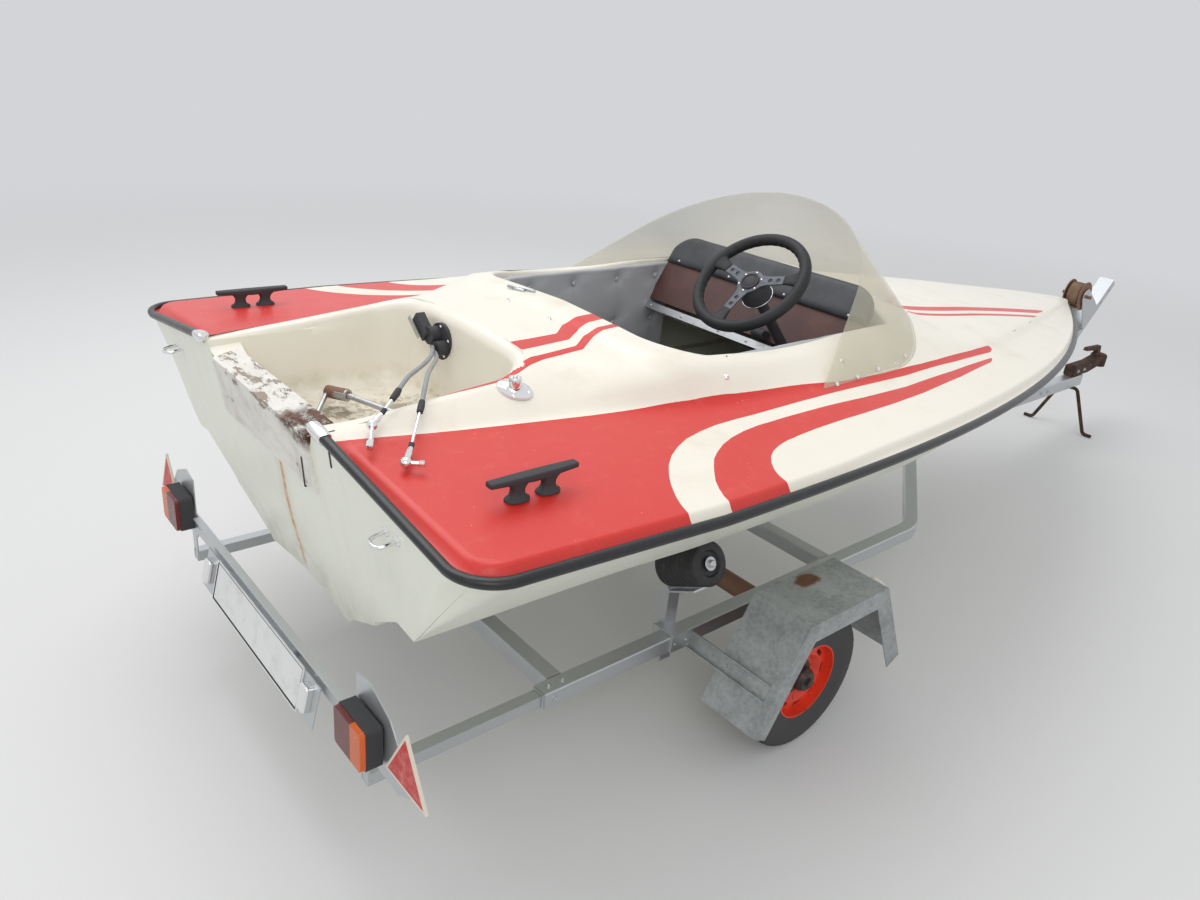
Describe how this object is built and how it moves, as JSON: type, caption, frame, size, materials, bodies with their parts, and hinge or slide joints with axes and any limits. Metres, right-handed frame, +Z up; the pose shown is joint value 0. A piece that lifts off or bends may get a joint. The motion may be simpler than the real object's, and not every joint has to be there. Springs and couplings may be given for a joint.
{
  "type": "speedboat on a road trailer",
  "caption": "Small open speedboat with a wrap-round screen and motor well, standing on a single-axle road trailer with a sliding light board.",
  "frame": {"origin": "on the ground, half-way between the rear lamp glasses and the nose of the coupling, on the middle plane", "axes": "+X to the bow and the coupling, +Y to port, +Z up"},
  "size_m": [4.731, 1.764, 1.2983],
  "materials": {
    "gelcoat_hull": "pale greenish white moulded gelcoat, dull with age",
    "gelcoat_deck": "cream gelcoat with red areas, satin with fine scratches",
    "black_rubber": "glossy black rubber section",
    "chrome": "polished, slightly pitted",
    "pad_wood": "worn white paint on wood, rotten brown at one end",
    "screen_acrylic": "clear acrylic with a yellow tint",
    "dash_brown": "brown laminate",
    "dash_vinyl": "grey black padded vinyl",
    "aluminium": "brushed, dull",
    "wheel_grip": "black moulded grip with grey metal spokes",
    "black_plastic": "black moulded plastic",
    "grey_vinyl": "grey buttoned vinyl",
    "floor_black": "dark painted floor with straw and dirt",
    "cable_grey": "grey cable jacket",
    "galvanised": "mottled grey hot-dip galvanised steel",
    "rusty_steel": "rusty brown steel",
    "tyre_rubber": "dusty black tyre",
    "rim_orange": "orange red paint, worn, with a dark hub",
    "marker_white": "white reflector",
    "winch_strap_brown": "brown frayed webbing",
    "reflector_red": "faded red reflector with a cream edge",
    "lens": "red and amber lenses",
    "plate_blank": "blank white plate"
  },
  "bodies": {
    "boat_and_trailer": {"hull_shell": "gelcoat_hull", "deck_moulding": "gelcoat_deck", "rubbing_strake": "black_rubber", "strake_caps": "chrome", "motor_pad": "pad_wood", "windscreen": "screen_acrylic", "dash_panel": "dash_brown", "dash_pad": "dash_vinyl", "dash_strip": "aluminium", "steering_column": "black_plastic", "throttle_control": "black_plastic", "cockpit_lining": "grey_vinyl", "cockpit_floor": "floor_black", "seat_cushion": "grey_vinyl", "mooring_cleats": "black_plastic", "chrome_fittings": "chrome", "cable_flange": "black_plastic", "throttle_cable": "cable_grey", "gear_cable": "cable_grey", "cable_ends": "chrome", "steering_link": "aluminium", "rail_port": "galvanised", "rail_starboard": "galvanised", "drawbar": "galvanised", "cross_members": "galvanised", "axle": "rusty_steel", "mudguards": "galvanised", "front_markers": "marker_white", "rollers": "black_rubber", "roller_brackets": "galvanised", "winch_post": "galvanised", "winch_strap": "winch_strap_brown", "coupling": "rusty_steel", "front_stand": "rusty_steel"},
    "wheel_port": {"tyre_port": "tyre_rubber", "rim_port": "rim_orange"},
    "wheel_starboard": {"tyre_starboard": "tyre_rubber", "rim_starboard": "rim_orange"},
    "helm": {"steering_wheel": "wheel_grip"},
    "lamp_board": {"light_board": "galvanised", "reflectors": "reflector_red", "lamp_housings": "black_plastic", "lamp_lenses": "lens", "number_plate": "plate_blank", "plate_lights": "chrome"},
    "winch": {"winch_drum": "rusty_steel", "strap_coil": "winch_strap_brown"}
  },
  "joints": [
    {"name": "wheel_port_spin", "type": "hinge", "parent": "boat_and_trailer", "child": "wheel_port", "pos_m": [-1.1945, 0.73, 0.2], "axis": [0, 1, 0], "continuous": true},
    {"name": "wheel_starboard_spin", "type": "hinge", "parent": "boat_and_trailer", "child": "wheel_starboard", "pos_m": [-1.1945, -0.73, 0.2], "axis": [0, 1, 0], "continuous": true},
    {"name": "steering_turn", "type": "hinge", "parent": "boat_and_trailer", "child": "helm", "pos_m": [-0.9845, -0.194, 1.104], "axis": [-0.682, 0, 0.7314], "range_deg": [-270, 270]},
    {"name": "lamp_board_slide", "type": "slide", "parent": "boat_and_trailer", "child": "lamp_board", "axis": [1, 0, 0], "range_m": [-0.28, 0.33]},
    {"name": "winch_spin", "type": "hinge", "parent": "boat_and_trailer", "child": "winch", "pos_m": [1.7705, 0, 0.765], "axis": [0, 1, 0], "continuous": true}
  ]
}
